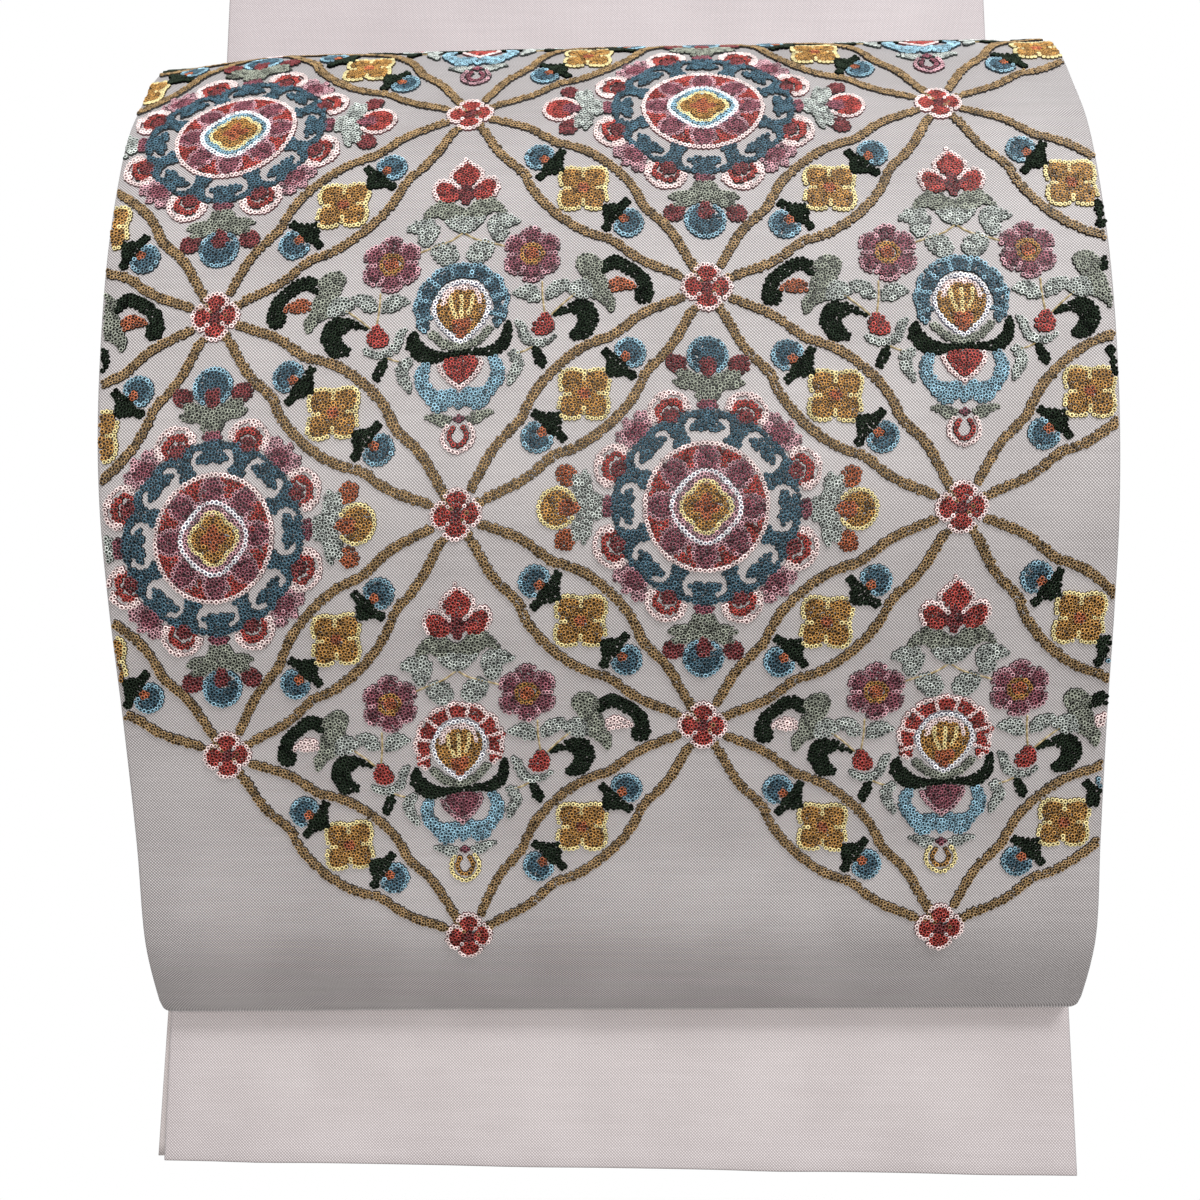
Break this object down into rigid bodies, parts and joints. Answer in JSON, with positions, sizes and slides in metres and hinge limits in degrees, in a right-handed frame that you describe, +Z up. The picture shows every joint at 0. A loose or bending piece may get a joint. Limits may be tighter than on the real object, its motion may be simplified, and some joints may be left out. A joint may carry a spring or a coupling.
{
  "type": "obi sash",
  "caption": "Broad woven silk sash set out as a hollow drum bow, with its tail below, a plain band rising behind and the rest folded at the back.",
  "frame": {"origin": "centre of the pad space in the top of the drum, where the bow is held", "axes": "+Z up along the hanging band, +X to the viewer's right across the band, +Y from the drum's front to its back"},
  "size_m": [0.3143, 0.1483, 0.5247],
  "materials": {
    "silk": "fine silk twill with a soft sheen, dense knot embroidery on the drum",
    "backing_silk": "plain silk twill"
  },
  "bodies": {
    "root": {"tail": "silk", "tail_backing": "backing_silk", "turn_up": "silk", "drum": "silk", "drum_back": "silk", "rising_band": "silk", "folded_pass_1": "silk", "folded_pass_2": "silk", "folded_pass_3": "silk", "folded_pass_4": "silk"}
  },
  "joints": []
}
